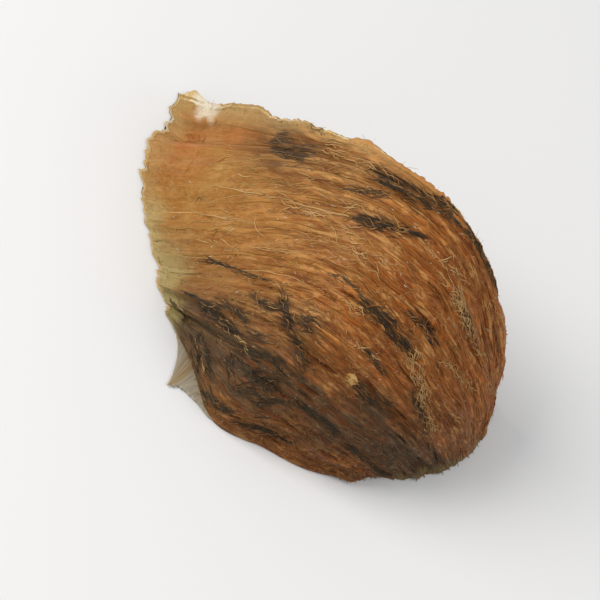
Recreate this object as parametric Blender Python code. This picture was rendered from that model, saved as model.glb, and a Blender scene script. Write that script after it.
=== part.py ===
"""Edible bird's nest: a half cup of hardened strands, built on a wall and cut off flat there.

The nest lies on its cut. The wall plane is z = 0 and +Z points away from the wall. +X runs from
the broad foot A to foot B, along which the strands were laid, and +Y points to the open mouth.
All lengths are in metres. Two numbers place a point on the nest: u runs along a strand, from
foot A at 0 to foot B at 1, and v runs across the strands, from the attach edge at 0 to the rim at 1.
"""
import math

import bmesh
import bpy
from mathutils import Vector, noise

# Driving dimensions
DEPTH = 0.0455            # from the wall to the crown of the rim
DROP = 0.0335             # from the line between the feet down to the attach edge
RIM_LEAN = 0.0095         # how far the crown of the rim leans out over the mouth
CROWN_X_BODY = 0.010      # the belly is fullest nearer to foot B
CROWN_X_RIM = 0.005
MIDDLE = (-0.00044, -0.00754, 0.0)   # middle of the outline on the wall, which is the part's origin

# Edges of the two feet on the wall, from the attach edge up to the tip
FOOT_A_EDGE = ((-0.0190, -0.0245), (-0.0300, -0.0140), (-0.0395, -0.0045),
               (-0.0455, 0.0080), (-0.0475, 0.0210))
FOOT_B_EDGE = ((0.0300, -0.0250), (0.0400, -0.0160), (0.0455, -0.0060),
               (0.0463, 0.0030), (0.0440, 0.0120))
FOOT_A_EVEN = 0.18        # part of foot A's edge that the strands share evenly
FOOT_A_GATHER = 3.2       # above 1, they start closer together near the attach edge
FOOT_A_FLARE = 2.6        # above 2, the foot spreads on the wall before it rises
FOOT_B_FLARE = 1.4        # near 1, the side stands up steeply
FLARE_BLEND = 0.35        # the one turns into the other over this reach on each side of the crown

# Wall of the nest
WALL = 0.0023
WALL_AT_FEET = 0.0024     # added thickness at the feet
WALL_AT_EDGE = 0.0012     # added thickness at the attach edge
LIP_ROUND = 0.0008        # how far the middle of the rim's edge stands out
CUT_EDGE = 0.00010        # least width of the cut face under a thin edge
SOLID_FOOT_U = 0.20       # foot A is solid down to the cut as far as this
CORNER_SLIM = 0.80        # part of the wall that is missing where a foot meets the attach edge
CORNER_U = 0.44
CORNER_V = 0.36
FOOT_A_WALL_U = 0.16      # the added thickness reaches this far in from foot A
FOOT_B_WALL_U = 0.10
FOOT_WALL_V = 0.30        # it starts at the attach edge and is full here
EDGE_WALL_V = 0.18

# Forms that stand out on the outside
BUNDLE_RELIEF = 0.0013    # thick and thin bundles of strands side by side
BUNDLE_ALONG = 1.7        # bundles are long along u and narrow across v
BUNDLE_ACROSS = (9.0, 19.0)
LUMP_RELIEF = 0.0011
LUMPS_ALONG = 6.5
LUMPS_ACROSS = 6.5
LEDGES = ((0.10, 0.58, 0.36), (0.34, 0.92, 0.60), (0.04, 0.66, 0.79))   # u start, u end, v
LEDGE_RELIEF = 0.00085
LEDGE_STRAY = 0.035       # how far a ledge strays across the flow, as a part of v
LEDGE_RISE_V = 0.10       # it rises slowly over this width, and falls off quickly over the next
LEDGE_FALL_V = 0.028
LEDGE_END_U = 0.12        # it fades over this length at each end
RIM_STEP = 0.0018         # the rim's own layer lies deeper than the body, next to foot A
RIM_STEP_V = 0.895
RIM_STEP_FALL_V = 0.02
RIM_STEP_FADE_U = 0.30    # it fades from here
RIM_STEP_END_U = 0.46
SMOOTH_FOOT_A_U = 0.10    # the relief fades towards the wall over these widths
SMOOTH_FOOT_B_U = 0.07
SMOOTH_EDGE_V = 0.06
TUFT = 0.0042             # the attach edge reaches lower here
TUFT_U = 0.36
TUFT_WIDTH_U = 0.10
TUFT_V = 0.30             # the belly above it isn't moved from here on

# Forms of the inside
NET_RELIEF = 0.00045
NET_SCALE = 150.0

# Torn edges
TORN = 0.0016
TORN_COARSE = 13.0
TORN_FINE = 29.0
TORN_FINE_PART = 0.6
TORN_ON_B = 0.5           # foot B is torn less
TORN_ENDS_U = 0.06        # the rim's tearing fades at its two ends
TAB = 0.0022              # the rim stands out here, by foot A
TAB_U = 0.165
TAB_WIDTH_U = 0.075
NOTCH = 0.0018            # a tear beside the tip of foot A
NOTCH_V = 0.940
NOTCH_WIDTH_V = 0.026
TORN_DEPTH = 0.70         # the feet are torn from this reach outwards

# Grid of the loft
STATIONS = 58             # along the strands
ROWS = 38                 # across the strands
FIRST_ANGLE = 0.24        # opens the spacing of the stations at foot A
STEP = 0.004              # of u and v, for slopes


def smooth(low, high, value):
    """Rise smoothly from 0 at low to 1 at high."""
    t = min(1.0, max(0.0, (value - low) / (high - low)))
    return t * t * (3.0 - 2.0 * t)


def bump(centre, width, value):
    """A bell of height 1 at centre."""
    return math.exp(-((value - centre) / width) ** 2)


def through(points, t):
    """Point at t, from 0 to 1, on a smooth curve through points of one plane."""
    last = len(points) - 1
    place = min(max(t, 0.0), 1.0) * last
    i = min(int(place), last - 1)
    s = place - i
    b, c = Vector(points[i]), Vector(points[i + 1])
    a = Vector(points[i - 1]) if i > 0 else 2.0 * b - c
    d = Vector(points[i + 2]) if i + 2 <= last else 2.0 * c - b
    return 0.5 * (2.0 * b + (c - a) * s + (2.0 * a - 5.0 * b + 4.0 * c - d) * s ** 2
                  + (3.0 * b - a - 3.0 * c + d) * s ** 3)


def torn(place, seed):
    """Uneven outline of a torn edge, between about -1 and 1."""
    coarse = noise.noise(Vector((place * TORN_COARSE, seed, 0.0)))
    fine = noise.noise(Vector((place * TORN_FINE, seed, 7.0)))
    return coarse + TORN_FINE_PART * fine


def place_on_a(v):
    """Where strand v starts on the edge of foot A, from 0 at the attach edge to 1 at the tip."""
    return FOOT_A_EVEN * v + (1.0 - FOOT_A_EVEN) * v ** FOOT_A_GATHER


def foot_a(v):
    """Smooth edge of foot A on the wall."""
    p = through(FOOT_A_EDGE, place_on_a(v))
    return Vector((p.x, p.y, 0.0))


def foot_b(v):
    """Smooth edge of foot B on the wall."""
    p = through(FOOT_B_EDGE, v)
    return Vector((p.x, p.y, 0.0))


def crown(v):
    """Fullest point of the strand v, on a quarter oval from the wall out to the rim."""
    phi = v * math.pi / 2.0
    x = CROWN_X_BODY + (CROWN_X_RIM - CROWN_X_BODY) * v ** 3
    y = -DROP * math.cos(phi) + RIM_LEAN * math.sin(phi) ** 3
    return Vector((x, y, DEPTH * math.sin(phi)))


def reach_at(u):
    """How far a station lies from the crown: -1 at foot A, 0 at the crown and 1 at foot B."""
    reach = -math.cos(FIRST_ANGLE + (math.pi - FIRST_ANGLE) * u)
    return reach / math.cos(FIRST_ANGLE) if reach < 0.0 else reach


def strand(u, v):
    """Smooth form of the outside: strand v rises from foot A, rounds its crown and falls to foot B."""
    reach = reach_at(u)
    foot = foot_a(v) if reach < 0.0 else foot_b(v)
    flare = FOOT_A_FLARE + (FOOT_B_FLARE - FOOT_A_FLARE) * smooth(-FLARE_BLEND, FLARE_BLEND, reach)
    top = crown(v)
    lift = max(0.0, 1.0 - reach * reach) ** (flare / 2.0)
    p = foot.lerp(top, lift)
    p.x = top.x + abs(reach) * (foot.x - top.x)
    p.y -= TUFT * bump(TUFT_U, TUFT_WIDTH_U, u) * (1.0 - smooth(0.0, TUFT_V, v))
    return p - Vector(MIDDLE)


def outward(u, v):
    """Unit normal of the smooth form, away from the cup's hollow."""
    u0, u1 = max(0.0, u - STEP), min(1.0, u + STEP)
    v0, v1 = max(0.0, v - STEP), min(1.0, v + STEP)
    along = strand(u1, v) - strand(u0, v)
    across = strand(u, v1) - strand(u, v0)
    return along.cross(across).normalized()


def relief(u, v):
    """Height of bundles, lumps and ledges over the smooth form."""
    bundles = sum(noise.noise(Vector((u * BUNDLE_ALONG, v * across, 5.0))) for across in BUNDLE_ACROSS)
    lumps = noise.noise(Vector((u * LUMPS_ALONG, v * LUMPS_ACROSS, 11.0)))
    ledges = 0.0
    for start, end, place in LEDGES:
        here = smooth(start, start + LEDGE_END_U, u) * (1.0 - smooth(end - LEDGE_END_U, end, u))
        line = place + LEDGE_STRAY * noise.noise(Vector((u * 3.0, place * 9.0, 5.0)))
        rise = smooth(line - LEDGE_RISE_V, line, v) - smooth(line, line + LEDGE_FALL_V, v)
        ledges += LEDGE_RELIEF * here * rise
    step = RIM_STEP * smooth(RIM_STEP_V, RIM_STEP_V + RIM_STEP_FALL_V, v)
    step *= 1.0 - smooth(RIM_STEP_FADE_U, RIM_STEP_END_U, u)
    near_feet = smooth(0.0, SMOOTH_FOOT_A_U, u) * smooth(0.0, SMOOTH_FOOT_B_U, 1.0 - u)
    near_wall = near_feet * smooth(0.0, SMOOTH_EDGE_V, v)
    return near_wall * (BUNDLE_RELIEF * bundles + LUMP_RELIEF * lumps + ledges - step)


def tear(u, v):
    """Uneven shift of the feet's edges along the strands, with the deep tear beside the tip of A."""
    reach = reach_at(u)
    if reach < 0.0:
        inward = NOTCH * bump(NOTCH_V, NOTCH_WIDTH_V, v) + TORN * torn(place_on_a(v), 1.0)
    else:
        inward = -TORN_ON_B * TORN * torn(v, 2.0)
    return Vector((inward * smooth(TORN_DEPTH, 1.0, abs(reach)), 0.0, 0.0))


def outside_point(u, v):
    """Point on the outside, which ends exactly on the wall plane at the feet and the attach edge."""
    p = strand(u, v) + tear(u, v) + outward(u, v) * relief(u, v)
    if v == 1.0:
        across = strand(u, 1.0) - strand(u, 1.0 - STEP)
        ends = smooth(0.0, TORN_ENDS_U, u) * smooth(0.0, TORN_ENDS_U, 1.0 - u)
        p += across.normalized() * ends * (TORN * torn(u, 3.0) + TAB * bump(TAB_U, TAB_WIDTH_U, u))
    if u in (0.0, 1.0) or v == 0.0:
        p.z = 0.0
    return p


def into_cup(u, v):
    """Direction in the wall plane from an edge on the wall towards the hollow."""
    inward = Vector((0.0, 0.0, 0.0))
    if v == 0.0:
        along = strand(min(1.0, u + STEP), v) - strand(max(0.0, u - STEP), v)
        inward += Vector((-along.y, along.x, 0.0)).normalized()
    if u in (0.0, 1.0):
        across = strand(u, min(1.0, v + STEP)) - strand(u, max(0.0, v - STEP))
        side = Vector((across.y, -across.x, 0.0)).normalized()
        inward += side if u == 0.0 else -side
    return inward.normalized()


def inside_point(u, v, outside):
    """Point on the inside, one wall thickness further in, and never below the cut."""
    normal = outward(u, v)
    upright = 1.0 - smooth(0.0, SOLID_FOOT_U, u)
    depth = normal.lerp(Vector((0.0, 0.0, 1.0)), upright).normalized()
    feet = 1.0 - smooth(0.0, FOOT_A_WALL_U, u) * smooth(0.0, FOOT_B_WALL_U, 1.0 - u)
    edge = 1.0 - smooth(0.0, EDGE_WALL_V, v)
    net = NET_RELIEF * noise.noise(strand(u, v) * NET_SCALE) * (1.0 - max(feet, edge))
    corner = (1.0 - smooth(0.0, CORNER_U, min(u, 1.0 - u))) * (1.0 - smooth(0.0, CORNER_V, v))
    wall = WALL + max(WALL_AT_FEET * feet * smooth(0.0, FOOT_WALL_V, v), WALL_AT_EDGE * edge)
    wall = wall * (1.0 - CORNER_SLIM * corner) + net
    p = strand(u, v) + tear(u, v) - depth * wall
    if v == 1.0:
        p = outside - depth * (wall + relief(u, v))
    if u in (0.0, 1.0) or v == 0.0:
        p = outside - depth * wall + into_cup(u, v) * CUT_EDGE
        p.z = 0.0
    p.z = max(p.z, 0.0)
    return p


def lip_point(u, outside, inside):
    """Middle of the rim's edge, rounded outwards."""
    across = (strand(u, 1.0) - strand(u, 1.0 - STEP)).normalized()
    return (outside + inside) / 2.0 + across * LIP_ROUND


def bridge(bm, first, second):
    """Quads between two rows of as many points."""
    for i in range(len(first) - 1):
        bm.faces.new((first[i], first[i + 1], second[i + 1], second[i]))


def nest_mesh():
    """Loft of the outside, over the rim, back along the inside and across the cut on the wall."""
    bm = bmesh.new()
    outside, inside, lip = [], [], []
    for i in range(STATIONS + 1):
        u = i / STATIONS
        out_row, in_row = [], []
        for j in range(ROWS + 1):
            v = j / ROWS
            out = outside_point(u, v)
            out_row.append(bm.verts.new(out))
            in_row.append(bm.verts.new(inside_point(u, v, out)))
        lip.append(bm.verts.new(lip_point(u, out_row[-1].co, in_row[-1].co)))
        outside.append(out_row)
        inside.append(in_row)

    for i in range(STATIONS):
        bridge(bm, outside[i + 1], outside[i])
        bridge(bm, inside[i], inside[i + 1])
    bridge(bm, [row[0] for row in inside], [row[0] for row in outside])
    bridge(bm, [row[-1] for row in outside], lip)
    bridge(bm, lip, [row[-1] for row in inside])
    bridge(bm, outside[0], inside[0])
    bridge(bm, inside[-1], outside[-1])
    bm.faces.new((outside[0][-1], lip[0], inside[0][-1]))
    bm.faces.new((inside[-1][-1], lip[-1], outside[-1][-1]))
    bmesh.ops.triangulate(bm, faces=bm.faces[:])
    mesh = bpy.data.meshes.new("nest")
    bm.to_mesh(mesh)
    bm.free()
    mesh.shade_smooth()
    return mesh


def hardened_saliva():
    """Amber, slightly glossy, dried strands."""
    material = bpy.data.materials.new("dried_strands")
    material.use_nodes = True
    shader = material.node_tree.nodes["Principled BSDF"]
    shader.inputs["Base Color"].default_value = (0.51, 0.22, 0.070, 1.0)
    shader.inputs["Roughness"].default_value = 0.48
    shader.inputs["Metallic"].default_value = 0.0
    return material


def main():
    for old in list(bpy.data.objects):
        bpy.data.objects.remove(old, do_unlink=True)
    collection = bpy.data.collections.new("edible_birds_nest")
    bpy.context.scene.collection.children.link(collection)
    nest = bpy.data.objects.new("nest", nest_mesh())
    nest.data.materials.append(hardened_saliva())
    collection.objects.link(nest)


main()
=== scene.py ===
"""Looks of the edible bird's nest: woven strands, torn pale edges, feather bits and loose fibres.

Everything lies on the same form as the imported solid. Two numbers place a point on it: u runs along
a strand from the broad foot A (0) to foot B (1), and v runs across the strands from the attach edge
(0) to the rim (1). Lengths are in metres, +Z points away from the wall that the nest was built on.
"""
import math

import bpy
import numpy as np
from mathutils import Matrix, Vector, noise


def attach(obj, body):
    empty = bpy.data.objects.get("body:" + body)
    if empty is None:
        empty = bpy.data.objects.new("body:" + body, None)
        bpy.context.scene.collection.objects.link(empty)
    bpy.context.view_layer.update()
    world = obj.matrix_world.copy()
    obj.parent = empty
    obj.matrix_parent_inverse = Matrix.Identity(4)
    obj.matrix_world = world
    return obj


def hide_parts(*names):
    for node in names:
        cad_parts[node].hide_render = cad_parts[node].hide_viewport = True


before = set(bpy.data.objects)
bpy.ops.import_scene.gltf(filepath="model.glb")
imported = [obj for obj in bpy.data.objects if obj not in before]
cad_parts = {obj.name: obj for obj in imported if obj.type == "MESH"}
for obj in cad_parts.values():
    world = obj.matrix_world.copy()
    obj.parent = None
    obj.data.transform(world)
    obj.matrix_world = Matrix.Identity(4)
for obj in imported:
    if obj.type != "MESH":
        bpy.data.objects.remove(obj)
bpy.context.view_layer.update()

SEED = 41
rng = np.random.default_rng(SEED)

# Form of the nest, the same as in the solid
DEPTH = 0.0455
DROP = 0.0335
RIM_LEAN = 0.0095
CROWN_X_BODY = 0.010
CROWN_X_RIM = 0.005
MIDDLE = np.array((-0.00044, -0.00754, 0.0))
FOOT_A_EDGE = ((-0.0190, -0.0245), (-0.0300, -0.0140), (-0.0395, -0.0045),
               (-0.0455, 0.0080), (-0.0475, 0.0210))
FOOT_B_EDGE = ((0.0300, -0.0250), (0.0400, -0.0160), (0.0455, -0.0060),
               (0.0463, 0.0030), (0.0440, 0.0120))
FOOT_A_EVEN = 0.18
FOOT_A_GATHER = 3.2
FOOT_A_FLARE = 2.6
FOOT_B_FLARE = 1.4
FLARE_BLEND = 0.35
WALL = 0.0023
WALL_AT_FEET = 0.0024
WALL_AT_EDGE = 0.0012
CUT_EDGE = 0.00010
SOLID_FOOT_U = 0.20
CORNER_SLIM = 0.80
CORNER_U = 0.44
CORNER_V = 0.36
BUNDLE_RELIEF = 0.0013
BUNDLE_ALONG = 1.7
BUNDLE_ACROSS = (9.0, 19.0)
LUMP_RELIEF = 0.0011
LUMPS_ALONG = 6.5
LUMPS_ACROSS = 6.5
LEDGES = ((0.10, 0.58, 0.36), (0.34, 0.92, 0.60), (0.04, 0.66, 0.79))
LEDGE_RELIEF = 0.00085
LEDGE_STRAY = 0.035
RIM_STEP = 0.0018
RIM_STEP_V = 0.895
RIM_STEP_END_U = 0.46
TUFT = 0.0042
TUFT_U = 0.36
TUFT_WIDTH_U = 0.10
TORN = 0.0016
TORN_COARSE = 13.0
TORN_FINE = 29.0
NOTCH = 0.0018
NOTCH_V = 0.940
NOTCH_WIDTH_V = 0.026
TORN_DEPTH = 0.70
TAB = 0.0022               # the rim stands out here, by foot A
TAB_U = 0.165
TAB_WIDTH_U = 0.075
FIRST_ANGLE = 0.24
STEP = 0.004

# Fine relief of the outside, over the solid's form
CORD_RELIEF = 0.00040      # soft bundles, about 2 mm apart
CORD_ALONG, CORD_ACROSS = 3.4, 30.0
THREAD_RELIEF = 0.00017    # single strands, under 1 mm apart
THREAD_ALONG, THREAD_ACROSS = 19.0, 70.0
CRUMB_RELIEF = 0.00020     # crumbs and short curls of the rough side
CRUMB_ALONG, CRUMB_ACROSS = 62.0, 48.0
LAYER_RELIEF = 0.00034     # edges of overlapping layers
LAYERS = 9.0
SLIT_DEPTH = 0.00055       # small gaps between strands
SLIT_ALONG, SLIT_ACROSS = 11.0, 40.0
ROLL_RELIEF = 0.00045      # rolled rim beside a groove
GROOVE_DEPTH = 0.00060
GROOVE_V = 0.925
FILM_REACH = 0.0098        # of the thin film beside foot A's corner
FILM_U = 0.205
TIP_FILM = 0.0026           # the film at the rim stands out here, by the tip of foot A
TIP_FILM_U = 0.046
FILM_THICKNESS = 0.00007
RELIEF_RANGE = 0.0013      # of all the fine relief together
FRAY = 0.00055             # fine fraying of the torn edges
WAVER = (0.0085, 0.0040)   # how far strands stray sideways, as parts of v
ROUGH_U = (0.11, 0.42)     # smooth before, rough after

# Fine grid of the shell; the inside has one row for every COARSE of the outside
STATIONS = 297
ROWS = 285
COARSE = 3
LIP_ROWS = 4

# Mean length of the strands and mean width of the nest across them
STRAND_LENGTH = 0.105
GIRTH = 0.060

# Length of the flow pattern, in units of 10 mm
FLOW_ALONG = 10.5
FLOW_ACROSS = 6.0

# Camera: it looks at the outside from below the mouth, tilted from the wall's normal
CAMERA_TILT = math.radians(36.9)
CAMERA_ROLL = math.radians(40.5)
CAMERA_DISTANCE = 1.4
FRAME_WIDTH = 0.121        # of the picture, at the nest
CAMERA_AIM = (0.0000, 0.0005)      # along +X and along the picture's height of the nest


def smooth(low, high, value):
    """Rise smoothly from 0 at low to 1 at high."""
    t = np.clip((value - low) / (high - low), 0.0, 1.0)
    return t * t * (3.0 - 2.0 * t)


def bump(centre, width, value):
    """A bell of height 1 at centre."""
    return np.exp(-((value - centre) / width) ** 2)


def unit(vectors):
    """Vectors of length 1."""
    length = np.linalg.norm(vectors, axis=-1, keepdims=True)
    return vectors / np.maximum(length, 1e-12)


def noise_at(x, y, z):
    """Noise between about -1 and 1 at each point of three arrays."""
    x, y, z = np.broadcast_arrays(x, y, z)
    points = np.stack((x, y, z), axis=-1).reshape(-1, 3)
    return np.array([noise.noise(p) for p in points.tolist()]).reshape(x.shape)


def through(points, t):
    """Points at t, from 0 to 1, on a smooth curve through points of the wall plane."""
    points = np.array([(x, y, 0.0) for x, y in points])
    points = np.vstack((2.0 * points[0] - points[1], points, 2.0 * points[-1] - points[-2]))
    last = len(points) - 3
    place = np.clip(t, 0.0, 1.0) * last
    i = np.minimum(place.astype(int), last - 1)
    s = (place - i)[..., None]
    a, b, c, d = points[i], points[i + 1], points[i + 2], points[i + 3]
    return 0.5 * (2.0 * b + (c - a) * s + (2.0 * a - 5.0 * b + 4.0 * c - d) * s ** 2
                  + (3.0 * b - a - 3.0 * c + d) * s ** 3)


def torn(place, seed):
    """Uneven outline of a torn edge, between about -1 and 1."""
    return noise_at(place * TORN_COARSE, seed, 0.0) + 0.6 * noise_at(place * TORN_FINE, seed, 7.0)


def place_on_a(v):
    """Where strand v starts on the edge of foot A."""
    return FOOT_A_EVEN * v + (1.0 - FOOT_A_EVEN) * v ** FOOT_A_GATHER


def crown(v):
    """Fullest point of strand v."""
    phi = v * math.pi / 2.0
    x = CROWN_X_BODY + (CROWN_X_RIM - CROWN_X_BODY) * v ** 3
    y = -DROP * np.cos(phi) + RIM_LEAN * np.sin(phi) ** 3
    return np.stack((x, y, DEPTH * np.sin(phi)), axis=-1)


def reach_at(u):
    """How far a station lies from the crown: -1 at foot A, 0 at the crown and 1 at foot B."""
    reach = -np.cos(FIRST_ANGLE + (math.pi - FIRST_ANGLE) * u)
    return np.where(reach < 0.0, reach / math.cos(FIRST_ANGLE), reach)


def strand(u, v):
    """Smooth form of the outside."""
    u, v = np.broadcast_arrays(np.asarray(u, float), np.asarray(v, float))
    reach = reach_at(u)
    on_a = through(FOOT_A_EDGE, place_on_a(v))
    foot = np.where((reach < 0.0)[..., None], on_a, through(FOOT_B_EDGE, v))
    flare = FOOT_A_FLARE + (FOOT_B_FLARE - FOOT_A_FLARE) * smooth(-FLARE_BLEND, FLARE_BLEND, reach)
    top = crown(v)
    lift = np.maximum(0.0, 1.0 - reach * reach) ** (flare / 2.0)
    p = foot + (top - foot) * lift[..., None]
    p[..., 0] = top[..., 0] + np.abs(reach) * (foot[..., 0] - top[..., 0])
    p[..., 1] -= TUFT * bump(TUFT_U, TUFT_WIDTH_U, u) * (1.0 - smooth(0.0, 0.30, v))
    return p - MIDDLE


def slopes(u, v):
    """Steps of the smooth form along and across the strands."""
    u0, u1 = np.maximum(0.0, u - STEP), np.minimum(1.0, u + STEP)
    v0, v1 = np.maximum(0.0, v - STEP), np.minimum(1.0, v + STEP)
    return strand(u1, v) - strand(u0, v), strand(u, v1) - strand(u, v0)


def outward(u, v):
    """Unit normal of the smooth form, away from the hollow."""
    along, across = slopes(u, v)
    return unit(np.cross(along, across))


def relief(u, v):
    """Bundles, lumps and ledges, the same as on the solid."""
    bundles = sum(noise_at(u * BUNDLE_ALONG, v * across, 5.0) for across in BUNDLE_ACROSS)
    lumps = noise_at(u * LUMPS_ALONG, v * LUMPS_ACROSS, 11.0)
    ledges = 0.0
    for start, end, place in LEDGES:
        here = smooth(start, start + 0.12, u) * (1.0 - smooth(end - 0.12, end, u))
        line = place + LEDGE_STRAY * noise_at(u * 3.0, place * 9.0, 5.0)
        ledges = ledges + LEDGE_RELIEF * here * (smooth(line - 0.10, line, v)
                                                 - smooth(line, line + 0.028, v))
    step = RIM_STEP * smooth(RIM_STEP_V, RIM_STEP_V + 0.02, v) * (1.0 - smooth(0.30, RIM_STEP_END_U, u))
    near_wall = smooth(0.0, 0.10, u) * smooth(0.0, 0.07, 1.0 - u) * smooth(0.0, 0.06, v)
    return near_wall * (BUNDLE_RELIEF * bundles + LUMP_RELIEF * lumps + ledges - step)


def waver(u, v):
    """How far the strands stray sideways, as a shift of v."""
    return WAVER[0] * noise_at(u * 8.0, v * 7.0, 31.0) + WAVER[1] * noise_at(u * 26.0, v * 20.0, 33.0)


def roughness_at(u, v):
    """0 where the outside is smooth, near foot A, to 1 where it is rough."""
    return smooth(*ROUGH_U, u + 0.10 * noise_at(u * 4.0, v * 5.0, 35.0))


def fine_relief(u, v):
    """Single strands, layer edges, slits and the rolled rim."""
    w = v + waver(u, v)
    rough = roughness_at(u, v)
    cords = noise_at(u * CORD_ALONG, w * CORD_ACROSS, 17.0)
    threads = 0.6 - 2.0 * np.abs(noise_at(u * THREAD_ALONG, w * THREAD_ACROSS, 19.0))
    crumbs = noise_at(u * CRUMB_ALONG, w * CRUMB_ACROSS, 21.0)
    layer = np.mod(w * LAYERS + 1.6 * noise_at(u * 1.9, v * 3.0, 23.0), 1.0)
    layered = smooth(-0.10, 0.35, noise_at(u * 3.0, v * 6.0, 29.0))
    layers = (smooth(0.0, 0.84, layer) - smooth(0.90, 1.0, layer) - 0.5) * layered
    slits = smooth(0.34, 0.60, noise_at(u * SLIT_ALONG, w * SLIT_ACROSS, 37.0)) * (0.12 + 0.88 * rough)
    rim_side = smooth(0.30, 0.45, u) * (1.0 - smooth(0.86, 0.97, u))
    roll = ROLL_RELIEF * smooth(GROOVE_V + 0.005, GROOVE_V + 0.04, v) * rim_side
    groove = GROOVE_DEPTH * bump(GROOVE_V + 0.010 * noise_at(u * 5.0, 3.0, 41.0), 0.010, v) * rim_side
    near_wall = smooth(-0.03, 0.17, u) * smooth(0.0, 0.05, 1.0 - u) * smooth(0.0, 0.04, v)
    return near_wall * (CORD_RELIEF * cords * (0.30 + 0.70 * rough) + THREAD_RELIEF * threads * (0.15 + 0.85 * rough)
                        + CRUMB_RELIEF * crumbs * (0.20 + 0.80 * rough) + LAYER_RELIEF * layers * (0.15 + 0.85 * rough)
                        - SLIT_DEPTH * slits + roll - groove)


def tear(u, v):
    """Shift of the torn feet along the strands, with fine fraying added."""
    reach = reach_at(u)
    place = place_on_a(v)
    fray = FRAY * (noise_at(place * 70.0, 3.0, 43.0) + 0.7 * noise_at(place * 170.0, 3.0, 47.0))
    on_a = NOTCH * bump(NOTCH_V, NOTCH_WIDTH_V, v) + TORN * torn(place, 1.0) + fray
    on_b = -0.5 * TORN * torn(v, 2.0) - 0.5 * FRAY * noise_at(v * 60.0, 5.0, 47.0)
    inward = np.where(reach < 0.0, on_a, on_b) * smooth(TORN_DEPTH, 1.0, np.abs(reach))
    shift = np.zeros(inward.shape + (3,))
    shift[..., 0] = inward
    return shift


def outside(u, v, lift=0.0):
    """Points on the finished outside, or lift above it."""
    u, v = np.broadcast_arrays(np.asarray(u, float), np.asarray(v, float))
    along, across = slopes(u, v)
    normal = unit(np.cross(along, across))
    height = relief(u, v) + fine_relief(u, v) + lift
    p = strand(u, v) + tear(u, v) + normal * height[..., None]
    fray = (TORN * torn(u, 3.0) + TAB * bump(TAB_U, TAB_WIDTH_U, u) + FRAY * noise_at(u * 130.0, 7.0, 53.0)
            + 0.5 * FRAY * noise_at(u * 300.0, 7.0, 59.0))
    reach = smooth(0.0, 0.06, u) * smooth(0.0, 0.06, 1.0 - u) * smooth(0.972, 1.0, v)
    p += unit(across) * (fray * reach)[..., None]
    p[..., 2] = np.maximum(p[..., 2], 0.0)
    return p, normal


def into_cup(u, v):
    """Direction in the wall plane from an edge on the wall towards the hollow."""
    along, across = slopes(u, v)
    from_edge = unit(np.stack((-along[..., 1], along[..., 0], 0.0 * u), axis=-1))
    side = unit(np.stack((across[..., 1], -across[..., 0], 0.0 * u), axis=-1))
    side = np.where((u < 0.5)[..., None], side, -side)
    at_edge = (v == 0.0)[..., None]
    at_foot = ((u == 0.0) | (u == 1.0))[..., None]
    return unit(from_edge * at_edge + side * at_foot)


def inside(u, v):
    """Points on the inside, one wall thickness further in, and never below the cut."""
    out, normal = outside(u, v)
    upright = 1.0 - smooth(0.0, SOLID_FOOT_U, u)
    depth = unit(normal * (1.0 - upright)[..., None] + np.array((0.0, 0.0, 1.0)) * upright[..., None])
    feet = 1.0 - smooth(0.0, 0.16, u) * smooth(0.0, 0.10, 1.0 - u)
    edge = 1.0 - smooth(0.0, 0.18, v)
    corner = (1.0 - smooth(0.0, CORNER_U, np.minimum(u, 1.0 - u))) * (1.0 - smooth(0.0, CORNER_V, v))
    net = 0.00045 * noise_at(u * 14.0, v * 12.0, 61.0) + 0.00030 * noise_at(u * 34.0, v * 28.0, 67.0)
    wall = WALL + np.maximum(WALL_AT_FEET * feet * smooth(0.0, 0.3, v), WALL_AT_EDGE * edge)
    wall = wall * (1.0 - CORNER_SLIM * corner) + net * (1.0 - np.maximum(feet, edge))
    p = strand(u, v) + tear(u, v) - depth * wall[..., None]
    at_rim = (v == 1.0)[..., None]
    p = np.where(at_rim, out - depth * (wall + relief(u, v))[..., None], p)
    on_wall = ((u == 0.0) | (u == 1.0) | (v == 0.0))[..., None]
    foot = strand(u, v) + tear(u, v) - depth * wall[..., None] + into_cup(u, v) * CUT_EDGE
    foot = foot + np.where(at_rim, out - strand(u, v) - tear(u, v), 0.0)
    foot[..., 2] = 0.0
    p = np.where(on_wall, foot, p)
    p[..., 2] = np.maximum(p[..., 2], 0.0)
    return p


def mesh_object(name, points, faces, attributes=None):
    """A smooth mesh object that rides on the nest's body."""
    mesh = bpy.data.meshes.new(name)
    mesh.from_pydata(points.tolist(), [], faces)
    for key, values in (attributes or {}).items():
        values = np.asarray(values, np.float32)
        kind, field = ("FLOAT", "value") if values.ndim == 1 else ("FLOAT_VECTOR", "vector")
        layer = mesh.attributes.new(key, kind, "POINT")
        layer.data.foreach_set(field, values.reshape(-1))
    mesh.shade_smooth()
    obj = bpy.data.objects.new(name, mesh)
    bpy.context.scene.collection.objects.link(obj)
    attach(obj, "root")
    return obj


# Places of the feather bits, read from the photograph in its pixels
PHOTO_SCALE = 0.355e-3             # metres a pixel
PHOTO_CENTRE = (370.0, 80.5)       # of the nest's frame, along the chord and across it
CHORD = (math.cos(CAMERA_ROLL), math.sin(CAMERA_ROLL))


def photo_plane(p):
    """Coordinates of points along the chord and across it, as the camera sees them."""
    p = p + MIDDLE
    return p[..., 0], p[..., 1] * math.cos(CAMERA_TILT) + p[..., 2] * math.sin(CAMERA_TILT)


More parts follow.
